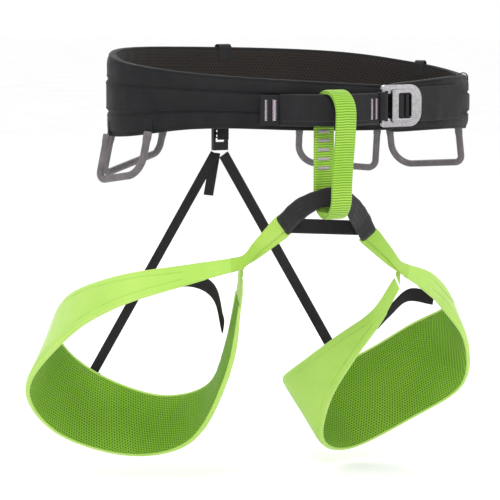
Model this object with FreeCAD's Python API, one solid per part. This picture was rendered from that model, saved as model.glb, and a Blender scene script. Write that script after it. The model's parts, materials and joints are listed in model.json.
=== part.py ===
import FreeCAD, Part
import math
import os

# Climbing harness standing as if worn: +Z up, the wearer's front toward -Y, millimetres.
# The origin is the centre of the waist ring, at the height of the belt's middle.

V = FreeCAD.Vector

# ---- waist belt -------------------------------------------------------------------
RING_X = 4.0             # centre of the waist ring, sideways
RING_A = 176.0           # half width of the waist ring
RING_B = 96.0            # half depth of the waist ring
LINING = (-4.0, -3.05)   # belt layers, measured outwards from the ring line
FOAM = (-3.0, 2.5)
SHELL = (2.55, 4.0)
LOAD_TAPE = (4.05, 5.2)
LOAD_TAPE_WIDTH = 22.0
BINDING_HEIGHT = 2.0
BINDING_PROUD = 0.3      # the binding stands this far inside the lining and outside the cover
SEAM_GAP = 0.05          # between two pieces sewn edge to edge
BELT_INSET = 1.2         # foam, cover and lining stop this far inside the belt's edges
WING_LIFT = 9.0          # the left wing's end lies this far out, over the right one
WING_TUCK = 2.5          # the right wing's end lies this far in
WING_REACH = 32.0        # degrees over which a wing moves out or in
TABS = [(-262, 2.4), (-337, 2.4), (-383, 1.4)]    # angle, half width in degrees
TAB_GAP = 4.8            # inner face of a tab, from the ring line
TAB_THICK = 1.0
TAB_DROP = 11.0
TAB_CLEAR = 0.3          # between the belt's edge and the fold of a tab
TAB_OPEN = 1.0           # the fold's hollow runs this far past its sides and ends
STRIP_STEPS = 2          # sections between two points of a strap's line
# angle round the ring, top edge, bottom edge
BELT_EDGES = [(-73, 12, -27), (-100, 17, -26), (-135, 24, -23), (-170, 33, -31),
              (-210, 44, -34), (-255, 44, -34), (-300, 39, -37), (-335, 28, -37),
              (-370, 18, -34), (-405, 18, -30), (-437, 13, -30)]
BELT_STEPS = 4           # sections between two of these angles
TAPE_FIRST = 4           # the load webbing stops this many sections from each end

# ---- belay loop and the two tie-in points ------------------------------------------
LOOP_X = -25.0           # middle of the belay loop, sideways
LOOP_Y = -125.0          # middle of the belay loop, front to back
LOOP_TOP_Z = -10.0       # centre of its upper bend
LOOP_LOW_Z = -80.0       # centre of its lower bend
LOOP_IN = 17.0           # inner bend radius
PLY = 1.75               # one layer of its webbing
LOOP_WIDTH = 19.0
TACK_COUNT = 5
TACK_TOP_Z = -27.0       # top bartack of the back strand
TACK_PITCH = 8.0
TACK_SIZE = (11.0, 0.5, 2.4)
TACK_SHIFT = 4.0         # the bartacks end this far to one side of the loop's middle
TIE_WIDTH = 25.0         # webbing of the upper tie-in point
TIE_THICK = 3.0
TIE_MIDDLE_Z = -7.0
# plan of the tie-in webbing, from its sewn end to the buckle
TIE_LINE = [(-64, -97.5), (-43, -115), (-25, -125), (-2, -122.5), (23.2, -117.2)]
PATCH_LINE = [(-81, -93.8), (-65.4, -97.6)]
PATCH_THICK = 4.0
PATCH_EDGE = 0.5         # the patch stands this far above and below the webbing

# ---- buckle -------------------------------------------------------------------------
BUCKLE_C = V(48, -114, -5)
BUCKLE_TURN = 8.0        # degrees about +Z
BUCKLE_LEFT = -22.0
BUCKLE_RIGHT = 23.5
BUCKLE_HALF_H = 18.5
BUCKLE_RADII = (4.5, 13.0)                   # corner radii, at the left and at the right
BUCKLE_BAR = -20.0
PLATE = 3.0
STRAP_WIDTH = 20.0
STRAP_THICK = 2.0
STRAP_LINE = [(120, -80), (94, -90.5), (68, -102.3), (48, -108.9)]
TAIL_LINE = [(140, -72), (108, -88.8), (81.5, -99.8), (62, -108.9)]
KEEPER_LINE = [(125.8, -84.6), (130.4, -82.2)]
KEEPER_EDGE = 4.0        # the keeper stands this far above and below the strap
KEEPER_THICK = 1.2
TAIL_INSET = 0.5         # the tail is this much narrower at each edge than the strap
TAIL_THICK = 1.6
WINDOW = (-15.5, 15.5, 11.0, 2.0, 5.0)       # x from, x to, half height, corner radii
GAP_FROM = -30.0         # the frame is open left of its window, where its bar goes in
GAP_TO = -15.0
GAP_HALF = 13.2
BAR_RADIUS = 1.9
BAR_HALF = 14.0
SLIDE = (-11.5, 15.0, 14.6, 3.0, 8.0)
SLIDE_WINDOW = (-4.0, 10.5, 11.0, 1.5, 2.5)
SLIDE_LAYER = (-3.4, -1.7)                   # outward faces of the slide plate
FOLD_RADII = (2.4, 4.6)                      # webbing folded round the bar
FOLD_HALF = 12.3
WRAP_X = (-3.4, 7.8)                         # strap folded round the slide plate's bar
WRAP_SLOT = (2.0, 4.2)
WRAP_LAYER = (-3.1, -0.4)
CUT_DEPTH = 6.0                              # half depth of a cut right through the buckle

# ---- leg assembly --------------------------------------------------------------------
ARCH_THICK = 5.5
ARCH_STEPS = 3
# outer and inner edge of the sleeve, from the left leg's side to the right leg's
ARCH = [((-52, -69, -104), (-40, -71, -119)), ((-47, -94, -86), (-41, -95, -105)),
        ((-38, -116, -76), (-36, -118, -92)), ((-25, -122, -73), (-25, -122, -91)),
        ((-12, -121, -76), (-12, -120, -93)), ((8, -110, -86), (2, -106, -105)),
        ((28, -95, -101), (18, -89, -117)), ((44, -82, -118), (31, -78, -128))]
CROSS_LEFT = V(-35, -76, -111)
CROSS_RIGHT = V(20, -80, -115)
CROSS_WIDTH = 11.0
CROSS_THICK = 2.4
BUNDLE_SHARES = (0.08, 0.36, 0.68, 0.97)     # sections of a tie, from the sleeve to the leg loop
LEG_STEPS = 4            # sections between two of a leg loop's stations
# upper and lower edge of each leg loop, round the thigh from the outside to the inside
LEFT_LEG = [((-81, -60, -138), (-81, -61, -148)), ((-127, -46, -144), (-129, -50, -160)),
            ((-175, 0, -157), (-182, -14, -181)), ((-195, 68, -184), (-208, 40, -215)),
            ((-178, 130, -231), (-219, 108, -273)), ((-127, 154, -274), (-175, 141, -326)),
            ((-70, 134, -297), (-105, 128, -352)), ((-41, 84, -280), (-62, 80, -332)),
            ((-50, 27, -227), (-54, 20, -258)), ((-67, -22, -173), (-67, -29, -186)),
            ((-76, -43, -151), (-76, -49, -162))]
RIGHT_LEG = [((84, -61, -153), (83, -62, -163)), ((127, -45, -167), (120, -46, -183)),
             ((165, -17, -191), (158, -21, -206)), ((190, 22, -212), (198, -2, -245)),
             ((188, 81, -238), (218, 34, -296)), ((162, 127, -271), (191, 84, -336)),
             ((113, 141, -293), (137, 113, -367)), ((64, 124, -290), (92, 94, -352)),
             ((59, 73, -263), (78, 58, -304)), ((67, 21, -231), (77, 11, -255)),
             ((78, -21, -203), (84, -27, -213)), ((82, -54, -168), (85, -58, -177))]
STRAND_SPANS = 1.5            # spans at each end where the bare strands run, before the pad
LEG_LINING = (-2.6, -1.75)    # leg loop layers, measured outwards from its edge lines
LEG_FOAM = (-1.7, 1.7)
LEG_SHELL = (1.75, 3.0)
STRAND = (0.2, 1.7)           # webbing strands beyond the padding
LEG_TRIM = 1.6                # foam and lining stop this far inside the edges
LEG_EDGE_PROUD = 0.2          # the edge tape stands this far inside the lining
LEFT_ELASTIC = [(-151, -24, -165), (-113, -19, -161), (-82, -7, -176), (-63, 12, -212)]
RIGHT_ELASTIC = [(152, -13, -197), (128, -6, -193), (108, -6, -206), (93, -8, -217)]
ELASTIC_WIDTH = 12.0
ELASTIC_THICK = 1.6
ELASTIC_ACROSS = V(0, -0.25, 0.97)    # the way an elastic's width lies

# ---- rear risers -------------------------------------------------------------------
HOOK = V(-14, 116, -50)       # where both risers meet under the belt
HOOK_WIDTH = 16.0
HOOK_LAYER = (111.0, 116.0)   # front and back face of the hook
HOOK_RANGE = (-56.5, -34.2)   # its lower and upper end
HOOK_WINDOWS = [(10.0, -43.5, -36.8), (11.0, -48.5, -44.5)]    # width, lower and upper end
BELT_TAB_LAYER = (105.8, 107.4)
BELT_TAB_RANGE = (-46.0, -20.0)
BELT_TAB_WIDTH = 12.0
BELT_TAB_FOOT = (100.3, -24.0)    # the foot's face on the belt's cover, and its lower end
LIP_WIDTH = 7.0               # the lip of the belt tab, on which the hook hangs
LIP_END = 118.0
LIP_RANGE = (-41.6, -39.0)
RISER_WIDTH = 9.0
RISER_THICK = 1.8
RISER_AT = {"left": 20, "right": 22}    # section of the leg loop where a riser ends
RISER_LIFT = 10.5             # a riser's end lies this far out from the leg loop's edge line
PATCH_WIDTH = 10.0
PATCH_REACH = (2.0, 10.0)     # how far the patch sewn there runs up and down
PATCH_SHEET = 0.8             # its thickness
PATCH_GAP = 0.9               # its middle, out from the cover
TAIL_END = V(-21, 124.5, -101)
LEFT_RISER_TOP = HOOK + V(-3.5, 0.6, -9.5)
RIGHT_RISER_TOP = HOOK + V(4.5, -2.0, -11.0)
TAIL_TOP = HOOK + V(-1, 4.8, -9.5)

# ---- gear loops ----------------------------------------------------------------------
GEAR_TUBE = 3.3
GEAR_OUT = 7.2                # axis of the loop's ends, outwards from the ring line
GEAR_BELOW = 1.0              # the axis lies this far below the belt's bottom edge
GEAR_END = 1.0                # the tube ends this far below its axis
ANCHOR_HEIGHT = 14.0
ANCHOR_CLEAR = 0.8            # the anchors end this far above the belt's bottom edge
ANCHOR_TURN = 1.8             # half width of an anchor, in degrees round the belt
ANCHOR_LAYER = (4.5, 6.0)
GEAR_LEAN = 14.0              # degrees that a loop leans outwards
# name, angle at the tight corner, angle at the wide bend, drops of the two corners
GEAR_LOOPS = [("left_front", -187, -157, 38, 34), ("left_rear", -207, -240, 36, 20),
              ("right_front", -360, -323, 33, 36), ("right_rear", -318, -290, 40, 34)]
GEAR_TIGHT = 7.0
GEAR_WIDE = 20.0
GEAR_STRAIGHT = 9.0           # least straight run beside the wide bend


# ================================ small helpers =======================================
def save(name, shape):
    """Write one sub-part to its own STEP file."""
    shape.exportStep("parts/" + name + ".step")


def points(rows):
    return [V(*row) for row in rows]


def polygon(corners):
    return Part.makePolygon(corners + [corners[0]])


def smooth(controls, steps):
    """Points on the smooth curve through the controls, with steps of them per span."""
    before = controls[0] * 2 - controls[1]
    after = controls[-1] * 2 - controls[-2]
    line = [before] + controls + [after]
    found = []
    for i in range(len(controls) - 1):
        a, b, c, d = line[i:i + 4]
        for k in range(steps):
            f = k / steps
            slope = (c - a) * f
            bend = (a * 2 - b * 5 + c * 4 - d) * (f * f)
            twist = (b * 3 - a - c * 3 + d) * (f * f * f)
            found.append(b + (slope + bend + twist) * 0.5)
    found.append(controls[-1])
    return found


def ease(x):
    """0 below 0, 1 above 1, smooth between."""
    x = min(max(x, 0.0), 1.0)
    return x * x * (3 - 2 * x)


def loft(sections):
    """Closed solid through four-cornered sections, in short ruled spans."""
    return Part.makeLoft([polygon(s) for s in sections], True, True)


def two_lines(stations, steps):
    """Smooth upper and lower line through stations of (upper point, lower point)."""
    upper = smooth(points([row[0] for row in stations]), steps)
    lower = smooth(points([row[1] for row in stations]), steps)
    return upper, lower


def edge_frames(upper, lower, side):
    """Outward unit vector at each station of a band given by its two edge lines."""
    middle = [(u + l) * 0.5 for u, l in zip(upper, lower)]
    frames = []
    for i in range(len(middle)):
        ahead = middle[min(i + 1, len(middle) - 1)]
        behind = middle[max(i - 1, 0)]
        out = (ahead - behind).cross(upper[i] - lower[i]) * side
        frames.append(out.normalize())
    return frames


def band(upper, lower, layer, side, trim=0.0, first=0, last=None):
    """Layer of a band between two edge lines, from layer[0] to layer[1] outwards."""
    outs = edge_frames(upper, lower, side)
    stop = len(upper) if last is None else last
    sections = []
    for i in range(first, stop):
        across = (upper[i] - lower[i]).normalize() * trim
        top = upper[i] - across
        low = lower[i] + across
        inner = outs[i] * layer[0]
        outer = outs[i] * layer[1]
        sections.append([low + inner, top + inner, top + outer, low + outer])
    return loft(sections)


def edging(upper, lower, layer, side, height, first, last):
    """Tape along the upper edge and along the lower edge of a band, as two solids."""
    outs = edge_frames(upper, lower, side)
    solids = []
    for edge, away in ((upper, 1.0), (lower, -1.0)):
        sections = []
        for i in range(first, last):
            across = (upper[i] - lower[i]).normalize() * away
            near = edge[i] - across * (LEG_TRIM - SEAM_GAP)
            far = edge[i] - across * (LEG_TRIM - height)
            inner = outs[i] * layer[0]
            outer = outs[i] * layer[1]
            sections.append([near + inner, far + inner, far + outer, near + outer])
        solids.append(loft(sections))
    return Part.makeCompound(solids)


def flat_strip(line, z_low, z_top, thick):
    """Upright strip of webbing that follows a line in plan."""
    plan = smooth([V(x, y, 0) for x, y in line], STRIP_STEPS)
    upper = [p + V(0, 0, z_top) for p in plan]
    lower = [p + V(0, 0, z_low) for p in plan]
    return band(upper, lower, (-thick / 2, thick / 2), 1.0)


def straight_strap(start, end, width, thick, wide):
    """Straight flat strap; its width lies along the vector wide."""
    along = (end - start).normalize()
    across = (wide - along * wide.dot(along)).normalize()
    out = along.cross(across)
    corners = []
    for a, b in ((-1, -1), (1, -1), (1, 1), (-1, 1)):
        corners.append(start + across * (a * width / 2) + out * (b * thick / 2))
    return Part.Face(polygon(corners)).extrude(end - start)


def rounded_path(corners, radii):
    """Wire of straight runs joined by tangent arcs; one radius per inner corner."""
    edges = []
    here = corners[0]
    for i in range(1, len(corners) - 1):
        back = (corners[i - 1] - corners[i]).normalize()
        ahead = (corners[i + 1] - corners[i]).normalize()
        half = math.acos(max(-1.0, min(1.0, back.dot(ahead)))) / 2
        reach = radii[i - 1] / math.tan(half)
        centre = corners[i] + (back + ahead).normalize() * (radii[i - 1] / math.sin(half))
        start = corners[i] + back * reach
        end = corners[i] + ahead * reach
        bulge = centre + (corners[i] - centre).normalize() * radii[i - 1]
        edges.append(Part.LineSegment(here, start).toShape())
        edges.append(Part.Arc(start, bulge, end).toShape())
        here = end
    edges.append(Part.LineSegment(here, corners[-1]).toShape())
    return Part.Wire(edges)


def tube(corners, radii, radius):
    path = rounded_path(corners, radii)
    start = (corners[1] - corners[0]).normalize()
    ring = Part.Wire([Part.makeCircle(radius, corners[0], start)])
    return path.makePipeShell([ring], True, False)


# ================================ waist belt ==========================================
def ring_point(angle, outwards, z):
    """Point beside the waist ring: outwards from it, at height z."""
    t = math.radians(angle)
    normal = V(math.cos(t) / RING_A, math.sin(t) / RING_B, 0).normalize()
    return V(RING_X + RING_A * math.cos(t), RING_B * math.sin(t), z) + normal * outwards


def belt_stations():
    """Angle, shift outwards, top and bottom edge at each section of the belt."""
    rows = []
    for p in smooth([V(*row) for row in BELT_EDGES], BELT_STEPS):
        over = WING_LIFT * ease((p.x - BELT_EDGES[0][0]) / WING_REACH + 1)
        under = WING_TUCK * ease((BELT_EDGES[-1][0] - p.x) / WING_REACH + 1)
        rows.append((p.x, over - under, p.y, p.z))
    return rows


BELT = belt_stations()


def belt_height(angle):
    """Top and bottom edge of the belt at an angle, between its sections."""
    for a, b in zip(BELT, BELT[1:]):
        if b[0] <= angle <= a[0]:
            part = (a[0] - angle) / (a[0] - b[0])
            return a[2] + (b[2] - a[2]) * part, a[3] + (b[3] - a[3]) * part
    raise ValueError("no belt at %g degrees" % angle)


def belt_solid(layer, edges, stations):
    """Layer of the belt; edges(top, bottom) gives its own upper and lower height."""
    sections = []
    for angle, shift, top, bottom in stations:
        high, low = edges(top, bottom)
        inner = shift + layer[0]
        outer = shift + layer[1]
        sections.append([ring_point(angle, inner, low), ring_point(angle, inner, high),
                         ring_point(angle, outer, high), ring_point(angle, outer, low)])
    return loft(sections)


def make_belt():
    for name, layer in (("lining", LINING), ("foam", FOAM), ("shell", SHELL)):
        save("waist_" + name,
             belt_solid(layer, lambda t, b: (t - BELT_INSET, b + BELT_INSET), BELT))
    wide = (LINING[0] - BINDING_PROUD, SHELL[1] + BINDING_PROUD)
    start = BELT_INSET - SEAM_GAP
    stop = BELT_INSET - BINDING_HEIGHT
    save("waist_top_binding", belt_solid(wide, lambda t, b: (t - stop, t - start), BELT))
    save("waist_bottom_binding", belt_solid(wide, lambda t, b: (b + start, b + stop), BELT))
    half = LOAD_TAPE_WIDTH / 2
    save("waist_load_webbing", belt_solid(
        LOAD_TAPE, lambda t, b: ((t + b) / 2 + half, (t + b) / 2 - half),
        BELT[TAPE_FIRST:-TAPE_FIRST]))


def belt_patch(angle, half_turn, layer, high, low):
    """Small upright piece that follows the belt round an angle."""
    rows = [(angle + half_turn * k, 0, high, low) for k in (1, 0, -1)]
    return belt_solid(layer, lambda t, b: (t, b), rows)


def make_belt_tabs():
    """Short tapes folded over the belt's top edge: two at the back, one at the side."""
    solids = []
    reach = TAB_GAP + TAB_THICK
    for angle, half_turn in TABS:
        edges = [belt_height(angle + half_turn * k)[0] for k in (1, 0, -1)]
        top = max(edges) + BINDING_HEIGHT - BELT_INSET
        low = top - TAB_DROP
        over = belt_patch(angle, half_turn, (-reach, reach), top + reach - SHELL[1], low)
        hollow = belt_patch(angle, half_turn + TAB_OPEN, (-TAB_GAP, TAB_GAP), top + TAB_CLEAR,
                            low - TAB_OPEN)
        solids.append(over.cut(hollow))
    save("belt_top_tabs", Part.makeCompound(solids))


# ================================ upper tie-in and belay loop ==========================
def stadium(radius, width):
    """Upright loop outline in the front-to-back plane, as thick as width sideways."""
    x = LOOP_X - width / 2
    low = V(x, LOOP_Y, LOOP_LOW_Z)
    high = V(x, LOOP_Y, LOOP_TOP_Z)
    side = V(0, radius, 0)
    edges = [Part.LineSegment(low + side, high + side).toShape(),
             Part.Arc(high + side, high + V(0, 0, radius), high - side).toShape(),
             Part.LineSegment(high - side, low - side).toShape(),
             Part.Arc(low - side, low - V(0, 0, radius), low + side).toShape()]
    return Part.Face(Part.Wire(edges)).extrude(V(width, 0, 0))


def make_belay_loop():
    middle = LOOP_IN + PLY
    inner_ply = stadium(middle, LOOP_WIDTH).cut(stadium(LOOP_IN, LOOP_WIDTH + 2))
    outer_ply = stadium(middle + PLY, LOOP_WIDTH).cut(stadium(middle + SEAM_GAP, LOOP_WIDTH + 2))
    save("belay_loop_inner_ply", inner_ply)
    save("belay_loop_outer_ply", outer_ply)
    tacks = []
    for i in range(TACK_COUNT):
        z = TACK_TOP_Z - i * TACK_PITCH
        y = LOOP_Y + LOOP_IN - TACK_SIZE[1] - SEAM_GAP
        corner = V(LOOP_X + TACK_SHIFT - TACK_SIZE[0], y, z)
        tacks.append(Part.makeBox(*TACK_SIZE, corner))
    save("belay_loop_bartacks", Part.makeCompound(tacks))


def make_tie_in():
    low = TIE_MIDDLE_Z - TIE_WIDTH / 2
    high = TIE_MIDDLE_Z + TIE_WIDTH / 2
    save("tie_in_webbing", flat_strip(TIE_LINE, low, high, TIE_THICK))
    save("tie_in_anchor_patch",
         flat_strip(PATCH_LINE, low - PATCH_EDGE, high + PATCH_EDGE, PATCH_THICK))


# ================================ buckle ==============================================
def in_buckle(shape):
    """Place a shape made in buckle axes: x along the strap, y outwards, z up."""
    shape = shape.copy()
    shape.rotate(V(0, 0, 0), V(0, 0, 1), BUCKLE_TURN)
    shape.translate(BUCKLE_C)
    return shape


def round_plate(x0, x1, half_h, r_left, r_right, y0, y1):
    """Flat plate with its own corner radius at each end."""
    depth = y1 - y0
    corners = [V(x0, y0, 0), V(x0, y0, half_h), V(x1, y0, half_h), V(x1, y0, -half_h),
               V(x0, y0, -half_h), V(x0, y0, 0)]
    wire = rounded_path(corners, [r_left, r_right, r_right, r_left])
    return Part.Face(wire).extrude(V(0, depth, 0))


def buckle_box(x0, x1, half_h, y0, y1):
    return Part.makeBox(x1 - x0, y1 - y0, 2 * half_h, V(x0, y0, -half_h))


def make_buckle():
    # in buckle axes the outward side is -y
    half = PLATE / 2
    frame = round_plate(BUCKLE_LEFT, BUCKLE_RIGHT, BUCKLE_HALF_H, *BUCKLE_RADII, -half, half)
    frame = frame.cut(round_plate(*WINDOW, -CUT_DEPTH, CUT_DEPTH))
    frame = frame.cut(buckle_box(GAP_FROM, GAP_TO, GAP_HALF, -CUT_DEPTH, CUT_DEPTH))
    bar = Part.makeCylinder(BAR_RADIUS, 2 * BAR_HALF, V(BUCKLE_BAR, 0, -BAR_HALF), V(0, 0, 1))
    save("buckle_frame", in_buckle(frame.fuse(bar).removeSplitter()))
    slide = round_plate(*SLIDE, *SLIDE_LAYER)
    slide = slide.cut(round_plate(*SLIDE_WINDOW, -CUT_DEPTH, CUT_DEPTH))
    save("buckle_slide_plate", in_buckle(slide))
    inner, outer = FOLD_RADII
    fold = Part.makeCylinder(outer, 2 * FOLD_HALF, V(BUCKLE_BAR, 0, -FOLD_HALF), V(0, 0, 1))
    fold = fold.cut(Part.makeCylinder(inner, 3 * FOLD_HALF, V(BUCKLE_BAR, 0, -1.5 * FOLD_HALF),
                                      V(0, 0, 1)))
    save("tie_in_fold", in_buckle(fold))
    wrap = buckle_box(*WRAP_X, STRAP_WIDTH / 2, *WRAP_LAYER)
    wrap = wrap.cut(buckle_box(*WRAP_SLOT, STRAP_WIDTH, -CUT_DEPTH, CUT_DEPTH))
    save("strap_fold", in_buckle(wrap))


def make_waist_strap():
    half = STRAP_WIDTH / 2
    z = BUCKLE_C.z
    save("waist_strap", flat_strip(STRAP_LINE, z - half, z + half, STRAP_THICK))
    tail = half - TAIL_INSET
    save("waist_strap_tail", flat_strip(TAIL_LINE, z - tail, z + tail, TAIL_THICK))
    keeper = half + KEEPER_EDGE
    save("strap_keeper", flat_strip(KEEPER_LINE, z - keeper, z + keeper, KEEPER_THICK))


# ================================ leg assembly ========================================
def make_arch():
    outer, inner = two_lines(ARCH, ARCH_STEPS)
    half = ARCH_THICK / 2
    save("bridge_sleeve", band(outer, inner, (-half, half), 1.0))
    cross = straight_strap(CROSS_LEFT, CROSS_RIGHT, CROSS_WIDTH, CROSS_THICK, V(0, 0, 1))
    save("bridge_cross_strap", cross)


def make_bundle(name, sleeve_end, leg_end, side):
    """The two strands between the bridge and a leg loop, one lying on the other."""
    upper = []
    lower = []
    for share in BUNDLE_SHARES:
        upper.append(sleeve_end[0] + (leg_end[0] - sleeve_end[0]) * share)
        lower.append(sleeve_end[1] + (leg_end[1] - sleeve_end[1]) * share)
    save(name + "_front_strand", band(upper, lower, STRAND, side))
    save(name + "_back_strand", band(upper, lower, (-STRAND[1], -STRAND[0]), side))


def make_leg(name, stations, side, elastic):
    upper, lower = two_lines(stations, LEG_STEPS)
    count = len(upper)
    first = int(STRAND_SPANS * LEG_STEPS)
    last = count - first
    save(name + "_outer_strand", band(upper, lower, STRAND, side, 0, 0, first + 1))
    save(name + "_inner_strand", band(upper, lower, STRAND, side, 0, last - 1, count))
    save(name + "_shell", band(upper, lower, LEG_SHELL, side, 0, first, last))
    save(name + "_foam", band(upper, lower, LEG_FOAM, side, LEG_TRIM, first, last))
    save(name + "_lining", band(upper, lower, LEG_LINING, side, LEG_TRIM, first, last))
    rim = (LEG_LINING[0] - LEG_EDGE_PROUD, LEG_SHELL[0] - SEAM_GAP)
    save(name + "_edge_binding", edging(upper, lower, rim, side, LEG_TRIM, first, last))
    line = smooth(points(elastic), LEG_STEPS)
    half = ELASTIC_ACROSS * (ELASTIC_WIDTH / 2)
    strip = band([p + half for p in line], [p - half for p in line],
                 (-ELASTIC_THICK / 2, ELASTIC_THICK / 2), side)
    save(name + "_elastic", strip)


def riser_seat(name, stations, side):
    """Where a riser meets a leg loop: a point on the edge line, and outwards from it."""
    upper, lower = two_lines(stations, LEG_STEPS)
    outs = edge_frames(upper, lower, side)
    return upper[RISER_AT[name]], outs[RISER_AT[name]]


# ================================ rear risers =========================================
def back_box(width, layer, heights):
    """Box behind the belt, centred on the hook sideways."""
    corner = V(HOOK.x - width / 2, layer[0], heights[0])
    return Part.makeBox(width, layer[1] - layer[0], heights[1] - heights[0], corner)


def make_risers():
    tab = back_box(BELT_TAB_WIDTH, BELT_TAB_LAYER, BELT_TAB_RANGE)
    foot_y, foot_z = BELT_TAB_FOOT
    foot = back_box(BELT_TAB_WIDTH, (foot_y, BELT_TAB_LAYER[1]), (foot_z, BELT_TAB_RANGE[1]))
    lip = back_box(LIP_WIDTH, (BELT_TAB_LAYER[0], LIP_END), LIP_RANGE)
    save("rear_belt_tab", tab.fuse([foot, lip]).removeSplitter())
    hook = back_box(HOOK_WIDTH, HOOK_LAYER, HOOK_RANGE)
    for width, low, high in HOOK_WINDOWS:
        hook = hook.cut(back_box(width, HOOK_LAYER, (low, high)))
    save("rear_hook", hook)
    for name, stations, side, top in (("left", LEFT_LEG, -1.0, LEFT_RISER_TOP),
                                      ("right", RIGHT_LEG, 1.0, RIGHT_RISER_TOP)):
        seat, out = riser_seat(name, stations, side)
        end = seat + out * RISER_LIFT
        save("riser_" + name, straight_strap(top, end, RISER_WIDTH, RISER_THICK, V(1, 0, 0)))
        down = (end - top).normalize()
        down = (down - out * down.dot(out)).normalize()
        foot = seat + out * (LEG_SHELL[1] + PATCH_GAP)
        patch = straight_strap(foot - down * PATCH_REACH[0], foot + down * PATCH_REACH[1],
                               PATCH_WIDTH, PATCH_SHEET, down.cross(out))
        save(name + "_leg_riser_patch", patch)
    save("riser_tail", straight_strap(TAIL_TOP, TAIL_END, RISER_WIDTH, RISER_THICK, V(1, 0, 0)))


# ================================ gear loops ==========================================
def make_gear_loop(name, tight_angle, wide_angle, tight_drop, wide_drop):
    tops = []
    anchors = []
    for angle in (tight_angle, wide_angle):
        low = belt_height(angle)[1]
        tops.append(ring_point(angle, GEAR_OUT, low - GEAR_BELOW))
        anchors.append(belt_patch(angle, ANCHOR_TURN, ANCHOR_LAYER, low + ANCHOR_HEIGHT,
                                  low + ANCHOR_CLEAR))
    save("gear_anchors_" + name, Part.makeCompound(anchors))
    along = (tops[1] - tops[0]).normalize()
    middle = (tight_angle + wide_angle) / 2
    out = ring_point(middle, 1, 0) - ring_point(middle, 0, 0)
    out = (out - along * out.dot(along)).normalize()
    lean = math.radians(GEAR_LEAN)
    down = (V(0, 0, -1) * math.cos(lean) + out * math.sin(lean)).normalize()
    corners = [tops[0] + down * GEAR_END, tops[0] + down * tight_drop,
               tops[1] + down * wide_drop, tops[1] + down * GEAR_END]
    wide = min(GEAR_WIDE, wide_drop - GEAR_STRAIGHT)
    save("gear_loop_" + name, tube(corners, [GEAR_TIGHT, wide], GEAR_TUBE))


make_belt()
make_belt_tabs()
make_belay_loop()
make_tie_in()
make_buckle()
make_waist_strap()
make_arch()
make_bundle("left_tie", points(ARCH[0]), points(LEFT_LEG[0]), -1.0)
make_bundle("right_tie", points(ARCH[-1]), points(RIGHT_LEG[0]), 1.0)
make_leg("left_leg", LEFT_LEG, -1.0, LEFT_ELASTIC)
make_leg("right_leg", RIGHT_LEG, 1.0, RIGHT_ELASTIC)
make_risers()
for row in GEAR_LOOPS:
    make_gear_loop(*row)
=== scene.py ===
import json
import math
from collections import namedtuple

import bmesh
import bpy
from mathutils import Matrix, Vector


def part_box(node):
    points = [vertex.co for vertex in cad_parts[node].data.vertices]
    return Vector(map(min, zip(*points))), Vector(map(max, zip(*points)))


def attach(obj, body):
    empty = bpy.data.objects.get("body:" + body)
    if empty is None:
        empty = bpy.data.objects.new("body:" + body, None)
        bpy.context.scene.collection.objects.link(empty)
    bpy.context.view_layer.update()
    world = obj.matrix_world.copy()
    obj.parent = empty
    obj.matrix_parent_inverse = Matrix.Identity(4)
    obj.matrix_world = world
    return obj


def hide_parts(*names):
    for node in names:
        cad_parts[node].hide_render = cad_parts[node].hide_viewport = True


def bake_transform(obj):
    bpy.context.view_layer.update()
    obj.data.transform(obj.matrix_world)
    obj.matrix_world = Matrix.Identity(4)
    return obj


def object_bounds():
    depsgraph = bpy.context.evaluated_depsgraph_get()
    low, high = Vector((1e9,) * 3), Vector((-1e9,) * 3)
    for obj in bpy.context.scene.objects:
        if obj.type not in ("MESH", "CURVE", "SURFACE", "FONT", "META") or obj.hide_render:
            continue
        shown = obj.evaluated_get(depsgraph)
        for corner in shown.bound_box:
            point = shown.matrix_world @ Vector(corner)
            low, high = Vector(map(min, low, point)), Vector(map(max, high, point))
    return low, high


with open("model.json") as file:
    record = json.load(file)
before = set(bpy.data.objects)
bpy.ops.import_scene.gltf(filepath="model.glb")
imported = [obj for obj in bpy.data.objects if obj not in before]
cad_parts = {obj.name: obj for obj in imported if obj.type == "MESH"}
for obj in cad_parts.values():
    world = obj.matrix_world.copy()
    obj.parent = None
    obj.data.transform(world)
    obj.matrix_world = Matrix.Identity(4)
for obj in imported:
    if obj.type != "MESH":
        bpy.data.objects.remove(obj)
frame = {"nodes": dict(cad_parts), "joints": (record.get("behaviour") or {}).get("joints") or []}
CAD_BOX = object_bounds()

MM = 0.001
UP = Vector((0, 0, 1))
SIDEWAYS = Vector((1, 0, 0))
FORWARD = Vector((0, -1, 0))
# one section of a band: its middle, the way across it and outwards, its width, and the way so far
Frame = namedtuple("Frame", "origin across out width along")
MERGE = 0.002 * MM            # corners of a CAD mesh nearer than this are one
LONG_EDGE_TURN = math.radians(45)      # faces that meet at more make an edge of a band
ROUNDED_TURN = math.radians(32)        # faces that meet at more have their edge rounded
SAME_STATION = 4 * MM         # sections of two bands nearer than this are one


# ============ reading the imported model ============
def welded(node):
    """The mesh of a CAD node as a bmesh whose faces share their corners."""
    bm = bmesh.new()
    bm.from_mesh(frame["nodes"][node].data)
    bmesh.ops.remove_doubles(bm, verts=bm.verts, dist=MERGE)
    return bm


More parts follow.
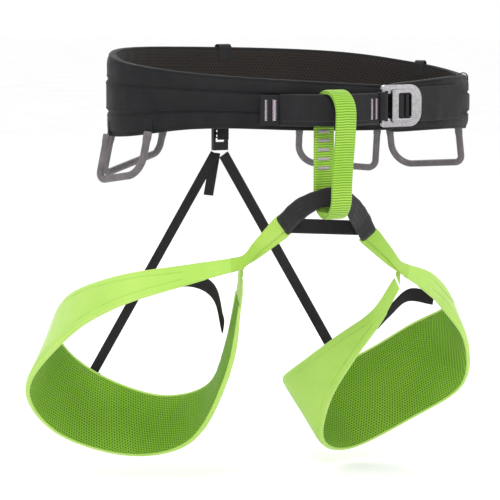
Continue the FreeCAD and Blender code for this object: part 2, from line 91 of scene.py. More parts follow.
def long_edges(node):
    """The four long edges of a band, each a list of points, all from the same end."""
    bm = welded(node)
    near = {}
    for edge in bm.edges:
        if len(edge.link_faces) == 2 and edge.calc_face_angle() > LONG_EDGE_TURN:
            a, b = edge.verts
            near.setdefault(a.index, []).append(b.index)
            near.setdefault(b.index, []).append(a.index)
    place = {v.index: v.co.copy() for v in bm.verts}
    bm.free()
    corners = [v for v in near if len(near[v]) == 3]
    chains = {}
    for corner in corners:
        for step in near[corner]:
            chain = [corner, step]
            while len(near[chain[-1]]) == 2:
                ahead = [v for v in near[chain[-1]] if v != chain[-2]]
                chain.append(ahead[0])
            chains[frozenset((chain[0], chain[-1]))] = chain
    size = {k: sum((place[a] - place[b]).length for a, b in zip(c, c[1:]))
            for k, c in chains.items()}
    order = sorted(chains, key=lambda k: size[k], reverse=True)
    longest = [chains[k] for k in order[:4]]
    cap = {longest[0][0]}
    for _ in range(3):
        for key in order[4:]:
            if key & cap:
                cap |= key
    return [[place[v] for v in (c if c[0] in cap else c[::-1])] for c in longest]


def rails(node, hub, start=None):
    """Upper and lower edge of a band, each as (outer, inner) lines; outer is away from hub."""
    lines = long_edges(node)
    if start is not None and (lines[0][0] - start).length > (lines[0][-1] - start).length:
        lines = [line[::-1] for line in lines]
    height = [sum(p.z for p in line) for line in lines]
    reach = [sum((p - hub).length for p in line) for line in lines]
    order = sorted(range(4), key=lambda i: height[i], reverse=True)
    found = []
    for pair in (order[:2], order[2:]):
        pair.sort(key=lambda i: reach[i], reverse=True)
        found.append((lines[pair[0]], lines[pair[1]]))
    return found


def smooth_at(line, t):
    """Point at t, in stations, on the smooth curve through the stations."""
    i = min(int(t), len(line) - 2)
    f = t - i
    a = line[max(i - 1, 0)]
    b = line[i]
    c = line[i + 1]
    d = line[min(i + 2, len(line) - 1)]
    return 0.5 * (2 * b + (c - a) * f + (2 * a - 5 * b + 4 * c - d) * f * f
                  + (3 * b - a - 3 * c + d) * f * f * f)


def frames_between(stations, step):
    """Evenly spaced frames along stations of (upper outer, upper inner, lower outer, inner)."""
    middles = [sum(s, Vector()) / 4 for s in stations]
    run = [0.0]
    for a, b in zip(middles, middles[1:]):
        run.append(run[-1] + (b - a).length)
    count = max(2, round(run[-1] / step))
    columns = list(zip(*stations))
    frames = []
    k = 0
    for i in range(count + 1):
        along = run[-1] * i / count
        while k < len(run) - 2 and run[k + 1] < along:
            k += 1
        t = k + (along - run[k]) / (run[k + 1] - run[k])
        uo, ui, lo, li = (smooth_at(c, min(t, len(stations) - 1.0)) for c in columns)
        upper = (uo + ui) / 2
        lower = (lo + li) / 2
        across = (upper - lower).normalized()
        out = (uo - ui) + (lo - li)
        out = (out - across * out.dot(across)).normalized()
        frames.append(Frame((upper + lower) / 2, across, out, (upper - lower).length, along))
    return frames


def band_frames(nodes, hub, start=None, step=3 * MM):
    """Frames along one band, or along several that follow on from each other."""
    stations = []
    for node, shift in nodes:
        (uo, ui), (lo, li) = rails(node, hub, start)
        rows = []
        for four in zip(uo, ui, lo, li):
            out = ((four[0] - four[1]) + (four[2] - four[3])).normalized() * shift
            rows.append([p + out for p in four])
        if stations:
            rows = [r for r in rows if (r[0] - stations[-1][0]).length > SAME_STATION]
        stations += rows
        start = sum(stations[-1], Vector()) / 4
    return frames_between(stations, step)


# ============ building meshes ============
def ease(x):
    """0 below 0, 1 above 1, smooth between."""
    x = min(max(x, 0.0), 1.0)
    return x * x * (3 - 2 * x)


def finished(name, bm, material, body):
    """Turn a bmesh into a piece of the model that rides on a body."""
    bmesh.ops.recalc_face_normals(bm, faces=bm.faces)
    mesh = bpy.data.meshes.new(name)
    bm.to_mesh(mesh)
    bm.free()
    for face in mesh.polygons:
        face.use_smooth = True
    piece = bpy.data.objects.new(name, mesh)
    bpy.context.scene.collection.objects.link(piece)
    mesh.materials.append(material)
    if body:
        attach(piece, body)
    return piece


def sweep(frames, section, ring=False, bm=None):
    """Closed skin: section(frame, share of the way) gives (across, out) pairs."""
    bm = bm or bmesh.new()
    uv = bm.loops.layers.uv.get("UVMap") or bm.loops.layers.uv.new("UVMap")
    rows = []
    walls = []
    total = frames[-1].along or 1.0
    for f in frames:
        pairs = section(f, f.along / total)
        rows.append([bm.verts.new(f.origin + f.across * a + f.out * o) for a, o in pairs])
        wall = [0.0]
        for (a, b), (c, d) in zip(pairs, pairs[1:] + pairs[:1]):
            wall.append(wall[-1] + math.hypot(c - a, d - b))
        walls.append(wall)
    count = len(rows[0])
    spans = len(rows) if ring else len(rows) - 1
    gap = frames[1].along - frames[0].along
    for i in range(spans):
        k = (i + 1) % len(rows)
        u0 = frames[i].along
        u1 = frames[k].along if k else u0 + gap
        for j in range(count):
            n = (j + 1) % count
            face = bm.faces.new((rows[i][j], rows[i][n], rows[k][n], rows[k][j]))
            places = ((u0, walls[i][j]), (u0, walls[i][j + 1]), (u1, walls[k][j + 1]),
                      (u1, walls[k][j]))
            for loop, place in zip(face.loops, places):
                loop[uv].uv = place
    if not ring:
        for row in (rows[0], rows[-1]):
            face = bm.faces.new(row)
            for edge in face.edges:
                edge.smooth = False
    return bm


def flat_section(outer, inner, columns, edge=0.45):
    """Section of a flat band with round edges; outer and inner give the height of each face.

    Both take the share of the width, the frame and the share of the way along.
    """
    shares = [j / columns for j in range(columns + 1)]

    def section(f, s):
        up = [((v - 0.5) * f.width, outer(v, f, s)) for v in shares]
        down = [((0.5 - v) * f.width, inner(1 - v, f, s)) for v in shares]
        bulge = (up[-1][1] - down[0][1]) * edge
        turn = (f.width / 2 + bulge, (up[-1][1] + down[0][1]) / 2)
        back = (-f.width / 2 - bulge, (up[0][1] + down[-1][1]) / 2)
        return up + [turn] + down + [back]
    return section


def round_section(half_across, half_out, power=2.6, count=20):
    """Closed superellipse, for piping, sleeves and tubes."""
    def section(f, s):
        pairs = []
        for j in range(count):
            t = 2 * math.pi * j / count
            c = math.cos(t)
            d = math.sin(t)
            a = half_across(f, s) * math.copysign(abs(c) ** (2 / power), c)
            o = half_out(f, s) * math.copysign(abs(d) ** (2 / power), d)
            pairs.append((a, -o))
        return pairs
    return section


def edge_frames(frames, side, inset=0.0, lift=0.0):
    """The frames moved to one edge of the band, inset towards its middle, lifted outwards."""
    moved = []
    for f in frames:
        place = f.origin + f.across * side * (f.width / 2 - inset) + f.out * lift
        moved.append(Frame(place, f.across, f.out, f.width, f.along))
    return moved


def thread(bm, points, radius, sides=6):
    """One short thread through a few points, with rounded-off ends."""
    rows = []
    for i, p in enumerate(points):
        ahead = points[min(i + 1, len(points) - 1)]
        behind = points[max(i - 1, 0)]
        along = (ahead - behind).normalized()
        across = along.cross(UP if abs(along.z) < 0.9 else SIDEWAYS).normalized()
        out = along.cross(across)
        r = radius * (0.55 if i in (0, len(points) - 1) else 1.0)
        row = []
        for j in range(sides):
            t = 2 * math.pi * j / sides
            row.append(bm.verts.new(p + across * (r * math.cos(t)) + out * (r * math.sin(t))))
        rows.append(row)
    for a, b in zip(rows, rows[1:]):
        for j in range(sides):
            n = (j + 1) % sides
            bm.faces.new((a[j], a[n], b[n], b[j]))
    bm.faces.new(rows[0])
    bm.faces.new(rows[-1])


def stitch_line(bm, line, outs, pitch=3.0 * MM, share=0.62, radius=0.22 * MM):
    """A row of stitches along a line; each one dips into the cloth at both ends."""
    run = 0.0
    for i in range(len(line) - 1):
        step = line[i + 1] - line[i]
        length = step.length
        while run < length:
            start = line[i] + step * (run / length)
            along = step.normalized()
            sink = outs[i] * (radius * 0.9)
            points = [start - sink, start + along * (pitch * share * 0.25) + outs[i] * radius * 0.4,
                      start + along * (pitch * share * 0.75) + outs[i] * radius * 0.4,
                      start + along * (pitch * share) - sink]
            thread(bm, points, radius)
            run += pitch
        run -= length


def stitch_row(bm, frames, share, height, face, *stitch):
    """Stitches along a band, at a share of its width and a height, on the face 1 or -1."""
    line = [f.origin + f.across * (share(f) * f.width) + f.out * face * height(f) for f in frames]
    stitch_line(bm, line, [f.out * face for f in frames], *stitch)


def bartack(bm, centre, along, up, out, width, height, turns, radius=0.3 * MM):
    """Dense zigzag of thread, width along the strap and height across it."""
    for i in range(turns):
        z0 = (i / turns - 0.5) * height
        z1 = ((i + 1) / turns - 0.5) * height
        a = centre - along * (width / 2) + up * z0
        b = centre + along * (width / 2) + up * (z0 + z1) / 2
        c = centre - along * (width / 2) + up * z1
        lift = out * radius * 0.5
        thread(bm, [a, (a + b) / 2 + lift, b], radius, 5)
        thread(bm, [b, (b + c) / 2 + lift, c], radius, 5)


def softened(name, node, material, body, width=0.4 * MM, segments=3):
    """A CAD piece with its edges rounded over; it stands for the node."""
    bm = welded(node)
    bmesh.ops.dissolve_limit(bm, angle_limit=math.radians(2), verts=bm.verts, edges=bm.edges)
    sharp = [e for e in bm.edges if len(e.link_faces) == 2
             and e.calc_face_angle() > ROUNDED_TURN]
    bmesh.ops.bevel(bm, geom=sharp, offset=width, segments=segments, profile=0.5,
                    affect="EDGES", clamp_overlap=True)
    bmesh.ops.triangulate(bm, faces=[f for f in bm.faces if len(f.verts) > 4])
    uv = bm.loops.layers.uv.new("UVMap")
    for face in bm.faces:
        normal = face.normal
        axis = max(range(3), key=lambda i: abs(normal[i]))
        for loop in face.loops:
            co = loop.vert.co
            loop[uv].uv = [(co.y, co.z), (co.x, co.z), (co.x, co.y)][axis]
    piece = finished(name, bm, material, body)
    weighted = piece.modifiers.new("Normals", "WEIGHTED_NORMAL")
    weighted.keep_sharp = False
    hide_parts(node)
    return piece


# ============ materials ============
def linear(r, g, b):
    """Linear colour from everyday 0 to 255 values."""
    return tuple((c / 255 / 12.92) if c < 11 else ((c / 255 + 0.055) / 1.055) ** 2.4
                 for c in (r, g, b)) + (1.0,)


class Nodes:
    """Short ways to make shader nodes in one material."""

    def __init__(self, name, roughness, sheen=0.0, metallic=0.0, coat=0.0, gloss=0.28):
        self.material = bpy.data.materials.new(name)
        self.material.use_nodes = True
        self.tree = self.material.node_tree
        self.shader = self.tree.nodes["Principled BSDF"]
        self.shader.inputs["Roughness"].default_value = roughness
        self.shader.inputs["Metallic"].default_value = metallic
        self.shader.inputs["Sheen Weight"].default_value = sheen
        self.shader.inputs["Sheen Roughness"].default_value = 0.4
        self.shader.inputs["Specular IOR Level"].default_value = 0.5 if metallic else gloss
        self.shader.inputs["Coat Weight"].default_value = coat
        self.shader.inputs["Coat Roughness"].default_value = 0.25

    def add(self, kind, **settings):
        node = self.tree.nodes.new(kind)
        for key, value in settings.items():
            setattr(node, key, value)
        return node

    def link(self, source, target):
        self.tree.links.new(source, target)

    def math(self, operation, *values):
        node = self.add("ShaderNodeMath", operation=operation)
        for i, value in enumerate(values):
            if isinstance(value, (int, float)):
                node.inputs[i].default_value = value
            else:
                self.link(value, node.inputs[i])
        return node.outputs[0]

    def uv(self):
        split = self.add("ShaderNodeSeparateXYZ")
        self.link(self.add("ShaderNodeTexCoord").outputs["UV"], split.inputs[0])
        return split.outputs[0], split.outputs[1]

    def noise(self, scale, detail=3.0, roughness=0.55):
        node = self.add("ShaderNodeTexNoise")
        node.inputs["Scale"].default_value = scale
        node.inputs["Detail"].default_value = detail
        node.inputs["Roughness"].default_value = roughness
        self.link(self.add("ShaderNodeTexCoord").outputs["Object"], node.inputs["Vector"])
        return node.outputs[0]

    def mix(self, share, low, high):
        """Colour between low and high; each is a colour or a socket."""
        node = self.add("ShaderNodeMix", data_type="RGBA")
        self.link(share, node.inputs[0])
        for value, socket in ((low, node.inputs[6]), (high, node.inputs[7])):
            if isinstance(value, tuple):
                socket.default_value = value
            else:
                self.link(value, socket)
        return node.outputs[2]

    def spread(self, value, low, high, to_low=0.0, to_high=1.0):
        node = self.add("ShaderNodeMapRange", clamp=True)
        self.link(value, node.inputs[0])
        for i, number in enumerate((low, high, to_low, to_high)):
            node.inputs[i + 1].default_value = number
        return node.outputs[0]

    def colour(self, socket):
        self.link(socket, self.shader.inputs["Base Color"])

    def rough(self, socket):
        self.link(socket, self.shader.inputs["Roughness"])

    def bump(self, height, distance):
        node = self.add("ShaderNodeBump")
        node.inputs["Distance"].default_value = distance
        self.link(height, node.inputs["Height"])
        self.link(node.outputs[0], self.shader.inputs["Normal"])


def weave_height(n, pitch_u, pitch_v):
    """Plain weave: over one, under one, from the cloth's own coordinates."""
    u, v = n.uv()
    a = n.math("SINE", n.math("MULTIPLY", u, 2 * math.pi / pitch_u))
    b = n.math("SINE", n.math("MULTIPLY", v, 2 * math.pi / pitch_v))
    return n.math("MULTIPLY", a, b)


def twill_height(n, pitch_u, pitch_v):
    """Ribs across the webbing broken up by slanting twill lines."""
    u, v = n.uv()
    slant = n.math("ADD", n.math("MULTIPLY", u, 2 * math.pi / pitch_u),
                   n.math("MULTIPLY", v, 2 * math.pi / pitch_v))
    rib = n.math("SINE", n.math("MULTIPLY", u, 2 * math.pi / pitch_u))
    return n.math("ADD", n.math("MULTIPLY", n.math("SINE", slant), 0.6),
                  n.math("MULTIPLY", rib, 0.4))


def cloth_material(name, dark, light, weave, depth, roughness=0.8, sheen=0.3, twill=False):
    """Woven cloth: painted shade, darker in the weave's hollows and paler on its raised threads;
    slow colour drift, worn patches a little paler.
    """
    n = Nodes(name, roughness, sheen)
    height = (twill_height if twill else weave_height)(n, *weave)
    # painted shade: the colour follows the weave's height, darker in its hollows and paler on its
    # raised threads, and is mixed with the random drift below
    relief_shade = n.spread(height, -1.0, 1.0)
    drift = n.spread(n.noise(18.0), 0.3, 0.7)
    share = n.math("ADD", n.math("MULTIPLY", relief_shade, 0.45), n.math("MULTIPLY", drift, 0.55))
    n.colour(n.mix(share, dark, light))
    n.rough(n.spread(n.noise(60.0), 0.3, 0.7, roughness - 0.08, roughness + 0.08))
    grain = n.math("ADD", height, n.math("MULTIPLY", n.noise(900.0, 2.0), 0.8))
    n.bump(grain, depth)
    return n.material


def spacer_mesh_material(name, hole_shade, thread_colour, light, pitch, depth, radius=0.24):
    """Spacer mesh: staggered rows of small holes between knitted ridges, the holes painted dark as
    shade.
    """
    n = Nodes(name, 0.78, 0.05)
    u, v = n.uv()
    x = n.math("DIVIDE", u, pitch)
    y = n.math("DIVIDE", v, pitch * 0.82)
    row = n.math("FLOOR", y)
    shift = n.math("MULTIPLY", n.math("MODULO", n.math("ABSOLUTE", row), 2.0), 0.5)
    dx = n.math("SUBTRACT", n.math("FRACT", n.math("ADD", x, shift)), 0.5)
    dy = n.math("MULTIPLY", n.math("SUBTRACT", n.math("FRACT", y), 0.5), 0.82)
    distance = n.math("SQRT", n.math("ADD", n.math("MULTIPLY", dx, dx),
                                     n.math("MULTIPLY", dy, dy)))
    solid = n.spread(distance, radius - 0.08, radius + 0.08)
    drift = n.spread(n.noise(14.0), 0.3, 0.7)
    # painted shade: the holes take the dark colour
    n.colour(n.mix(solid, hole_shade, n.mix(drift, thread_colour, light)))
    n.bump(n.math("ADD", n.spread(distance, 0.1, 0.5), n.math("MULTIPLY", n.noise(1400.0), 0.15)),
           depth)
    return n.material


def moulded_material(name, dark, light, roughness, scale, depth, coat=0.0):
    """Moulded plastic or rubber with a fine grain and scuffed, slightly paler patches."""
    n = Nodes(name, roughness, 0.0, 0.0, coat)
    scuff = n.spread(n.noise(scale, 5.0, 0.65), 0.42, 0.75)
    n.colour(n.mix(scuff, dark, light))
    n.rough(n.spread(scuff, 0.0, 1.0, roughness, min(1.0, roughness + 0.15)))
    n.bump(n.noise(1500.0, 2.0), depth)
    return n.material


def metal_material(name, dark, light, roughness):
    """Satin aluminium: brushed along one way, with faint handling marks."""
    n = Nodes(name, roughness, 0.0, 1.0)
    u, v = n.uv()
    stretch = n.add("ShaderNodeCombineXYZ")
    n.link(n.math("MULTIPLY", u, 260.0), stretch.inputs[0])
    n.link(n.math("MULTIPLY", v, 5200.0), stretch.inputs[1])
    brush = n.add("ShaderNodeTexNoise")
    brush.inputs["Scale"].default_value = 1.0
    n.link(stretch.outputs[0], brush.inputs["Vector"])
    marks = n.spread(n.noise(420.0, 4.0), 0.2, 0.9)
    n.colour(n.mix(marks, light, dark))
    n.rough(n.spread(brush.outputs[0], 0.3, 0.7, roughness - 0.06, roughness + 0.1))
    n.bump(brush.outputs[0], 0.02 * MM)
    return n.material


def ribbed_webbing_material(name, pitch, width):
    """Heavy webbing: painted shade in the furrows between ribs, the crests paler, in step with the
    ribs of its mesh.
    """
    n = Nodes(name, 0.55, 0.25)
    u, v = n.uv()
    wander = n.math("MULTIPLY", n.math("SINE", n.math("MULTIPLY", v, 9 / width)), 0.5)
    rib = n.math("SINE", n.math("ADD", n.math("MULTIPLY", u, 2 * math.pi / pitch), wander))
    strands = n.math("SINE", n.math("MULTIPLY", v, 2 * math.pi / (1.1 * MM)))
    # painted shade: dark in the furrows between ribs, pale on their crests, with faint stripes
    # along the strands
    relief_shade = n.math("ADD", n.spread(rib, -0.9, 0.5), n.math("MULTIPLY", strands, 0.12))
    drift = n.mix(n.spread(n.noise(22.0), 0.3, 0.7), linear(144, 190, 50), linear(168, 206, 82))
    # the furrows take the dark lime as painted shade
    n.colour(n.mix(n.spread(relief_shade, 0.0, 1.0), linear(84, 138, 14), drift))
    n.bump(n.math("ADD", strands, n.noise(900.0, 2.0)), 0.06 * MM)
    return n.material


BLACK_SHELL = cloth_material("black_shell_cloth", linear(8, 8, 10), linear(20, 20, 24),
                             (0.9 * MM, 0.9 * MM), 0.05 * MM, 0.72, 0.04)
# the first colour is painted shade in the mesh's holes
BLACK_MESH = spacer_mesh_material("black_mesh_cloth", linear(4, 3, 3), linear(26, 20, 17),
                                  linear(36, 28, 24), 3.4 * MM, 0.35 * MM, 0.27)
BLACK_WEBBING = cloth_material("black_webbing_cloth", linear(8, 8, 10), linear(24, 23, 27),
                               (2.1 * MM, 1.2 * MM), 0.14 * MM, 0.62, 0.05, True)
BLACK_ELASTIC = cloth_material("black_elastic_cloth", linear(9, 8, 10), linear(22, 20, 23),
                               (1.1 * MM, 1.6 * MM), 0.12 * MM, 0.7, 0.05, True)
SLEEVE = cloth_material("black_sleeve_cloth", linear(8, 8, 9), linear(34, 33, 37),
                        (1.6 * MM, 1.6 * MM), 0.22 * MM, 0.6, 0.05)
FOAM = moulded_material("foam_core", linear(60, 60, 62), linear(84, 84, 86), 0.9, 300.0, 0.1 * MM)
LIME_SHELL = cloth_material("lime_shell_cloth", linear(150, 195, 76), linear(174, 210, 100),
                            (0.7 * MM, 0.7 * MM), 0.035 * MM, 0.75, 0.3)
LIME_EDGE = cloth_material("lime_edge_cloth", linear(160, 202, 84), linear(184, 216, 112),
                           (0.9 * MM, 0.9 * MM), 0.05 * MM, 0.7, 0.3)
# the first colour is painted shade in the mesh's holes
LIME_MESH = spacer_mesh_material("lime_mesh_cloth", linear(44, 80, 12), linear(108, 158, 34),
                                 linear(122, 170, 44), 2.9 * MM, 0.4 * MM, 0.23)
LIME_WEBBING = cloth_material("lime_webbing_cloth", linear(128, 176, 44), linear(176, 208, 96),
                              (2.2 * MM, 1.3 * MM), 0.1 * MM, 0.6, 0.25, True)
THREAD = (0.6, 500.0, 0.03 * MM)     # how rough a thread is, and its grain
PALE_THREAD = moulded_material("pale_thread", linear(176, 160, 172), linear(206, 194, 204), *THREAD)
GREY_THREAD = moulded_material("grey_thread", linear(84, 78, 86), linear(112, 106, 114), *THREAD)
BLACK_THREAD = moulded_material("black_thread", linear(30, 29, 33), linear(58, 56, 62), *THREAD)
LIME_THREAD = moulded_material("lime_thread", linear(112, 160, 44), linear(138, 184, 66), *THREAD)
GREY_MOULDING = moulded_material("grey_moulding", linear(86, 81, 84), linear(108, 102, 106),
                                 0.42, 90.0, 0.03 * MM, 0.15)
BLACK_PLASTIC = moulded_material("black_plastic", linear(18, 18, 20), linear(36, 36, 39),
                                 0.45, 120.0, 0.03 * MM)
METAL = metal_material("buckle_metal", linear(126, 124, 126), linear(172, 170, 173), 0.2)


# ============ waist belt ============
BELT_HUB = Vector((4 * MM, 0, 0))
BELT_STEP = 2 * MM            # between two sections of the belt
SKIN = 0.9 * MM               # thickness of a cover or lining over its foam core
SKIN_GAP = 0.12 * MM
CORE_TRIM = 2.4 * MM          # a foam core is this much narrower than its cover
CORE_EDGE = 0.25 * MM         # half its thickness at its edges
TAB_DROP = 10 * MM            # a tape folded over the belt's edge reaches this far down
TAB_HALF = 4.3 * MM           # half the thickness of the belt that it folds round
TAB_SINK = 0.8 * MM           # its fold is centred this far below the belt's edge
TAB_SIDE = 0.3                # share of its length on each side of the fold
TAB_FLARE = 0.12              # its ends stand off by this share more than its fold
TAB_NARROW = 0.92             # its width, as a share of its CAD solid's
TAB_STEPS = 40
SHELL_OUT = 4.0 * MM          # outer face of the belt's cover, from the ring line
LINING_IN = -4.0 * MM         # inner face of its lining
SHELL_MID = 3.275 * MM        # middle of the CAD cover, where its frames lie
TONGUE = 18 * MM              # the belt's ends round off over this length
TONGUE_TIP = 0.45             # and keep this share of its width at the very end
SEAMS = (0.30, 0.70)          # the two sewn channels, as shares of the belt's width
SEAM_HALF = 0.045             # a row of stitches runs this far to each side of a channel
SEAM_DEPTH = 1.3 * MM
COVER_EDGE = 1.6 * MM         # height of the cover at its edges
COVER_CROWN = 1.4 * MM        # how much the padding swells it past its CAD solid
BAND_RISE = 0.9 * MM          # how far the band between the channels is raised
LINING_CROWN = (1.4 * MM, 0.9 * MM)    # lining drawn back at its edges, and swollen between
TAPE_WIDTH = 1.9 * MM
TAPE_HALF = (3.6, 0.12)       # half depth of the edge tape and its ripple, in mm


def belt_frames():
    """Frames of the belt, its two ends rounded off like a tongue."""
    frames = []
    plain = band_frames([("waist_shell", -SHELL_MID)], BELT_HUB, None, BELT_STEP)
    for f in plain:
        near = min(f.along, plain[-1].along - f.along) / TONGUE
        share = math.sqrt(1 - (1 - min(near, 1.0)) ** 2)
        frames.append(f._replace(width=f.width * (TONGUE_TIP + (1 - TONGUE_TIP) * share)))
    return frames


def roll(v, width, reach):
    """0 at a band's edges to 1 inside, round like a stuffed edge."""
    near = min(min(v, 1 - v) * width / reach, 1.0)
    return math.sqrt(max(0.0, 1 - (1 - near) ** 2))


def groove(v, width, place, half):
    """1 in a sewn line at place (a share of the width), 0 away from it."""
    return math.exp(-(((v - place) * width) / half) ** 2)


def pucker(along, v, seed):
    """Small unevenness of sewn cloth, from a few waves that never line up."""
    return (math.sin(along * 211 + seed) * math.sin(along * 83 + v * 5 + seed * 2)
            + 0.6 * math.sin(along * 367 + v * 9 + seed * 3))


def make_belt():
    frames = belt_frames()

    def outer(v, f, s):
        fade = ease(s / 0.02) * ease((1 - s) / 0.02)
        swell = SHELL_OUT - COVER_EDGE + COVER_CROWN * fade
        height = COVER_EDGE + swell * roll(v, f.width, 9 * MM)
        band = ease((v - SEAMS[0]) * f.width / (3 * MM)) * ease((SEAMS[1] - v) * f.width / (3 * MM))
        height += BAND_RISE * band * fade
        for place in SEAMS:
            height -= SEAM_DEPTH * groove(v, f.width, place, SEAM_DEPTH) * fade
        return height + 0.13 * MM * pucker(f.along, v, 1.0) * fade

    def under_cover(v, f, s):
        return outer(v, f, s) - SKIN

    cover = sweep(frames, flat_section(outer, under_cover, 40, 0.2))
    piece = finished("waist_outer_cover", cover, BLACK_SHELL, "root")
    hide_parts("waist_shell", "waist_load_webbing")

    def inside(v, f, s):
        edge, crown = LINING_CROWN
        height = LINING_IN + edge - (edge + crown) * roll(v, f.width, 12 * MM)
        return height - 0.2 * MM * pucker(f.along, v, 4.0) * roll(v, f.width, 8 * MM)

    def over_lining(v, f, s):
        return inside(v, f, s) + SKIN

    lining = sweep(frames, flat_section(over_lining, inside, 32, 0.2))
    piece = finished("waist_mesh_lining", lining, BLACK_MESH, "root")
    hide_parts("waist_lining")

    core = sweep([f._replace(width=f.width - CORE_TRIM) for f in frames], flat_section(
        lambda v, f, s: max(under_cover(v, f, s) - SKIN_GAP, CORE_EDGE),
        lambda v, f, s: min(over_lining(v, f, s) + SKIN_GAP, -CORE_EDGE), 32, 0.2))
    piece = finished("waist_foam_core", core, FOAM, "root")
    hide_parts("waist_foam")

    for side, node in ((1, "waist_top_binding"), (-1, "waist_bottom_binding")):
        edge = edge_frames(frames, side, 0.7 * MM, 0.1 * MM)
        half, ripple = TAPE_HALF
        tape = sweep(edge, round_section(
            lambda f, s: TAPE_WIDTH,
            lambda f, s: (half + ripple * math.sin(f.along * 300)) * MM, 3.0, 16))
        piece = finished(node.replace("binding", "edge_tape"), tape, BLACK_SHELL,
                         "root")
        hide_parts(node)

    bm = bmesh.new()
    for place in [seam + half for seam in SEAMS for half in (-SEAM_HALF, SEAM_HALF)]:
        stitch_row(bm, frames[4:-4], lambda f: place - 0.5,
                   lambda f: outer(place, f, f.along / frames[-1].along) + 0.05 * MM, 1, 2.8 * MM)
    finished("waist_seam_stitches", bm, BLACK_THREAD, "root")


# ============ webbing ============
WEB_STEP = 0.6 * MM       # between two sections of ribbed webbing


def web_section(low, high, ribs, pitch=2.1 * MM, columns=10):
    """Flat webbing from low to high, with cross ribs this tall and a plumper selvedge."""
    def swell(v, f):
        rib = 0.5 + 0.5 * math.sin(2 * math.pi * f.along / pitch + 0.5 * math.sin(v * 9))
        edge = math.exp(-((min(v, 1 - v) * f.width) / (1.2 * MM)) ** 2)
        return ribs * rib * (1 - 0.6 * edge)
    return flat_section(lambda v, f, s: high + swell(v, f), lambda v, f, s: low - swell(v, f),
                        columns, 0.5)


def webbing(name, node, material, body, hub, thick, ribs=0.1 * MM, pitch=2.1 * MM):
    """Ribbed webbing in the place of one flat CAD strap."""
    frames = band_frames([(node, 0.0)], hub, None, WEB_STEP)
    skin = sweep(frames, web_section(-thick / 2, thick / 2, ribs, pitch, 8))
    piece = finished(name, skin, material, body)
    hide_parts(node)
    return piece, frames


TIE_THICK = 2.8 * MM
TIE_STITCHES = (3.2 * MM, 1.58 * MM)    # in from the lower edge, and out from the middle
TIE_TACK = (18 * MM, 1.75 * MM)         # height of a bartack, and out from the middle
PATCH_TACKS = (-3.6, 4.2)               # places of the bartacks on the sewn patch, in mm
END_TACKS = (-3.0, 2.4)                 # and at the buckle's end
END_BACK = 6 * MM                       # these are centred this far before the end


def make_tie_in():
    piece, frames = webbing("tie_in_strap", "tie_in_webbing", BLACK_WEBBING,
                            "root", BELT_HUB, TIE_THICK)
    if frames[0].origin.x > frames[-1].origin.x:
        frames = frames[::-1]
    bm = bmesh.new()
    edge = edge_frames(frames[6:-6], -1, *TIE_STITCHES)
    stitch_line(bm, [f.origin for f in edge], [f.out for f in edge], 2.6 * MM, 0.45, 0.16 * MM)
    finished("tie_in_edge_stitches", bm, GREY_THREAD, "root")
    softened("tie_in_patch", "tie_in_anchor_patch", BLACK_WEBBING, "root",
             0.6 * MM)
    low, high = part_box("tie_in_anchor_patch")
    bm = bmesh.new()
    along = Vector((high.x - low.x, low.y - high.y, 0)).normalized()
    out = Vector((along.y, -along.x, 0))
    front = (low + high) / 2 + out * 2.5 * MM
    height, lift = TIE_TACK
    for shift in PATCH_TACKS:
        bartack(bm, front + along * shift * MM, along, UP, out, 3.4 * MM, height, 15)
    last = frames[-1]
    run = (last.origin - frames[-8].origin).normalized()
    spot = last.origin - run * END_BACK
    for shift in END_TACKS:
        bartack(bm, spot + run * shift * MM + last.out * lift, run, UP, last.out,
                2.6 * MM, height, 13)
    finished("tie_in_bartacks", bm, PALE_THREAD, "root")


def islands(bm):
    """The separate solids of a mesh, each as a list of its vertices, in their own order."""
    seen = set()
    found = []
    for first in bm.verts:
        if first in seen:
            continue
        group = [first]
        seen.add(first)
        for v in group:
            for edge in v.link_edges:
                other = edge.other_vert(v)
                if other not in seen:
                    seen.add(other)
                    group.append(other)
        found.append(group)
    return found


def make_belt_tabs():
    """Short tapes folded close over the belt's top edge."""
    belt = belt_frames()
    solids = welded("belt_top_tabs")
    bm = bmesh.new()
    for group in islands(solids):
        middle = sum((v.co for v in group), Vector()) / len(group)
        f = min(belt, key=lambda row: (row.origin - middle).xy.length)
        along = f.across.cross(f.out).normalized()
        side = [(v.co - middle).dot(along) for v in group]
        spread = (max(side) - min(side)) * TAB_NARROW
        top = f.origin + f.across * (f.width / 2)
        if top.z < f.origin.z:
            top = f.origin - f.across * (f.width / 2)
        up = (top - f.origin).normalized()
        frames = []
        for i in range(TAB_STEPS + 1):
            t = i / TAB_STEPS
            side_drop = max(TAB_SIDE - t, t - (1 - TAB_SIDE), 0.0) / TAB_SIDE
            drop = TAB_DROP * side_drop
            turn = math.pi * min(max((t - TAB_SIDE) / (1 - 2 * TAB_SIDE), 0.0), 1.0)
            out = -f.out * math.cos(turn) + up * math.sin(turn)
            reach = TAB_HALF * (1 + TAB_FLARE * ease(side_drop))
            place = top - up * (TAB_SINK + drop) + out * reach
            frames.append(Frame(place, along, out, spread, t * 4 * TAB_DROP))
        sweep(frames, flat_section(lambda v, f, s: 0.55 * MM, lambda v, f, s: -0.35 * MM, 8, 0.4),
              bm=bm)
    solids.free()
    piece = finished("belt_tabs", bm, BLACK_WEBBING, "root")
    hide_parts("belt_top_tabs")


POCKET_HALF = 13.5        # half height of the strap's pocket, in mm, by the buckle
POCKET_GROW = 2.0         # and how much that grows further on
POCKET_THICK = 1.9 * MM   # half its thickness


